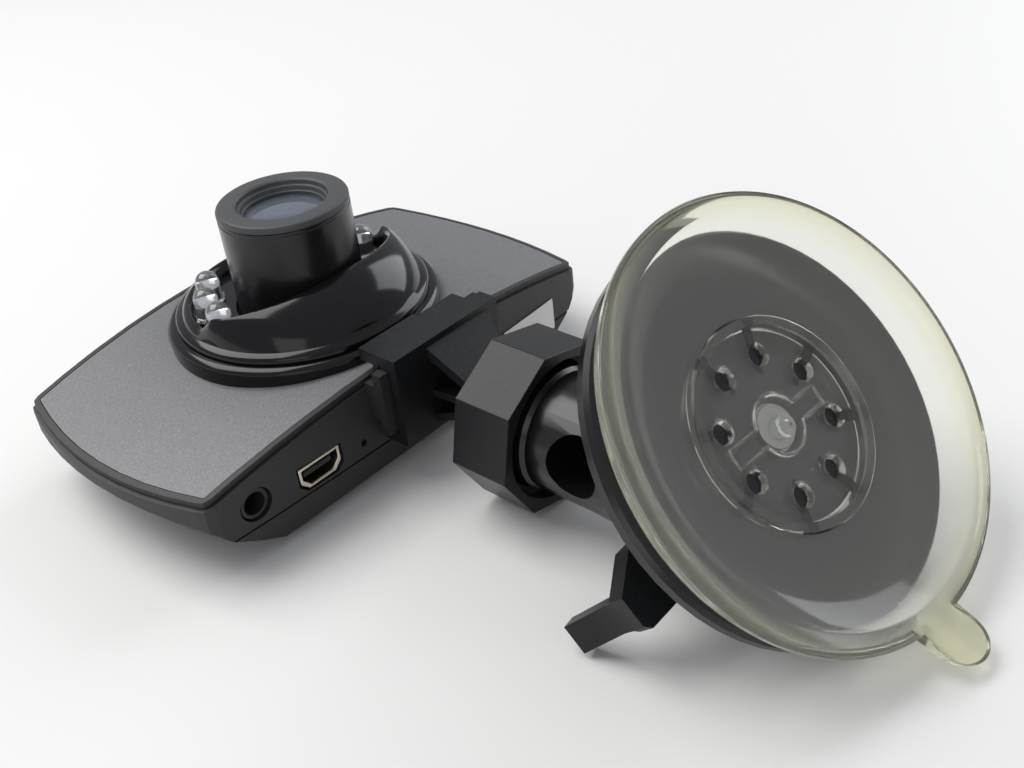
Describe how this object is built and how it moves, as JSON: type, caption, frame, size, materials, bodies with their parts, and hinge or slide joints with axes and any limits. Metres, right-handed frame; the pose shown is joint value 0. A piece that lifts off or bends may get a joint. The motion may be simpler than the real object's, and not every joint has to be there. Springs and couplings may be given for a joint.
{
  "type": "dash camera",
  "caption": "Flat dash camera with a hooded lens barrel and infrared lamps, on a ball-jointed arm with a lever-locked suction cup.",
  "frame": {"origin": "centre of the flat screen face, which the camera lies on", "axes": "+Z the way the lens looks, X along the camera's long side, -Y towards the suction mount"},
  "size_m": [0.0866, 0.1361, 0.0474],
  "materials": {
    "housing_black": "fine matte mould texture",
    "panel_silver": "satin silver grey with a fine metallic speckle",
    "label_white": "matte, blank",
    "screw_steel": "zinc plated",
    "gloss_black": "polished",
    "ring_grey": "matte",
    "lens_glass": "coated",
    "lamp_clear": "clear moulded domes",
    "screen_glass": "polished window over the screen",
    "foil": "satin",
    "key_grey": "satin",
    "board_green": "solder mask",
    "chip_black": "matte",
    "plated_shell": "tin plated, bright",
    "mount_black": "semi-gloss moulded",
    "cup_clear": "clear soft plastic, faintly yellow"
  },
  "bodies": {
    "camera": {"front_housing": "housing_black", "rear_housing": "housing_black", "front_panel": "panel_silver", "label_sticker": "label_white", "housing_screw_1": "screw_steel", "housing_screw_2": "screw_steel", "housing_screw_3": "screw_steel", "housing_screw_4": "screw_steel", "lens_base_ring": "gloss_black", "lens_cowl": "gloss_black", "lens_tube": "gloss_black", "lens_front_ring": "ring_grey", "front_glass": "lens_glass", "lens_cell": "ring_grey", "rear_lens": "lens_glass", "lens_holder": "ring_grey", "image_sensor": "chip_black", "ir_led_1": "lamp_clear", "ir_led_2": "lamp_clear", "ir_led_3": "lamp_clear", "ir_led_4": "lamp_clear", "ir_led_5": "lamp_clear", "ir_led_6": "lamp_clear", "lcd_window": "screen_glass", "lcd_panel": "foil", "battery": "foil", "key_board_left": "board_green", "key_board_right": "board_green", "main_board": "board_green", "processor": "chip_black", "flash_memory": "chip_black", "speaker": "chip_black", "microphone": "plated_shell", "usb_shell": "plated_shell", "usb_tongue": "gloss_black", "av_jack": "chip_black", "card_socket": "plated_shell"},
    "key_1_body": {"key_1": "key_grey"},
    "key_2_body": {"key_2": "key_grey"},
    "key_3_body": {"key_3": "key_grey"},
    "key_4_body": {"key_4": "key_grey"},
    "key_5_body": {"key_5": "key_grey"},
    "key_6_body": {"key_6": "key_grey"},
    "bracket": {"slide_bracket": "mount_black"},
    "ball_body": {"ball": "mount_black"},
    "seat": {"ball_seat": "mount_black"},
    "cup_arm": {"cup_housing": "mount_black", "suction_cup": "cup_clear"},
    "nut": {"lock_nut": "mount_black"},
    "stem": {"pull_stem": "screw_steel", "pull_disc": "cup_clear", "lever_pin": "screw_steel"},
    "lever_body": {"lever": "mount_black"}
  },
  "joints": [
    {"name": "key_1_press", "type": "slide", "parent": "camera", "child": "key_1_body", "axis": [0, 0, 1], "range_m": [0, 0.0004], "stiffness_N_per_m": 2500},
    {"name": "key_2_press", "type": "slide", "parent": "camera", "child": "key_2_body", "axis": [0, 0, 1], "range_m": [0, 0.0004], "stiffness_N_per_m": 2500},
    {"name": "key_3_press", "type": "slide", "parent": "camera", "child": "key_3_body", "axis": [0, 0, 1], "range_m": [0, 0.0004], "stiffness_N_per_m": 2500},
    {"name": "key_4_press", "type": "slide", "parent": "camera", "child": "key_4_body", "axis": [0, 0, 1], "range_m": [0, 0.0004], "stiffness_N_per_m": 2500},
    {"name": "key_5_press", "type": "slide", "parent": "camera", "child": "key_5_body", "axis": [0, 0, 1], "range_m": [0, 0.0004], "stiffness_N_per_m": 2500},
    {"name": "key_6_press", "type": "slide", "parent": "camera", "child": "key_6_body", "axis": [0, 0, 1], "range_m": [0, 0.0004], "stiffness_N_per_m": 2500},
    {"name": "rail_slide", "type": "slide", "parent": "camera", "child": "bracket", "axis": [1, 0, 0], "range_m": [-0.03, 0.0016]},
    {"name": "ball_swivel", "type": "hinge", "parent": "bracket", "child": "ball_body", "pos_m": [0.0023, -0.0465, 0.0128], "axis": [0, 1, 0], "range_deg": [-90, 90]},
    {"name": "ball_tilt", "type": "hinge", "parent": "ball_body", "child": "seat", "pos_m": [0.0023, -0.0465, 0.0128], "axis": [0.9985, 0, 0.0541], "range_deg": [-20, 20]},
    {"name": "arm_spin", "type": "hinge", "parent": "seat", "child": "cup_arm", "pos_m": [0.0023, -0.0465, 0.0128], "axis": [0, -1, 0], "range_deg": [-180, 180]},
    {"name": "nut_turn", "type": "hinge", "parent": "cup_arm", "child": "nut", "pos_m": [0.0023, -0.0465, 0.0128], "axis": [0, 1, 0], "range_deg": [0, 360]},
    {"name": "stem_pull", "type": "slide", "parent": "cup_arm", "child": "stem", "axis": [-0.0372, -0.7254, 0.6873], "range_m": [0, 0.002]},
    {"name": "lever_turn", "type": "hinge", "parent": "stem", "child": "lever_body", "pos_m": [0.00911, -0.0736, 0.01468], "axis": [0.0392, -0.6884, -0.7243], "range_deg": [0, 95]}
  ],
  "couplings": [
    {"joint": "lever_turn", "follows": "stem_pull", "rad_per_m": 829.05}
  ]
}
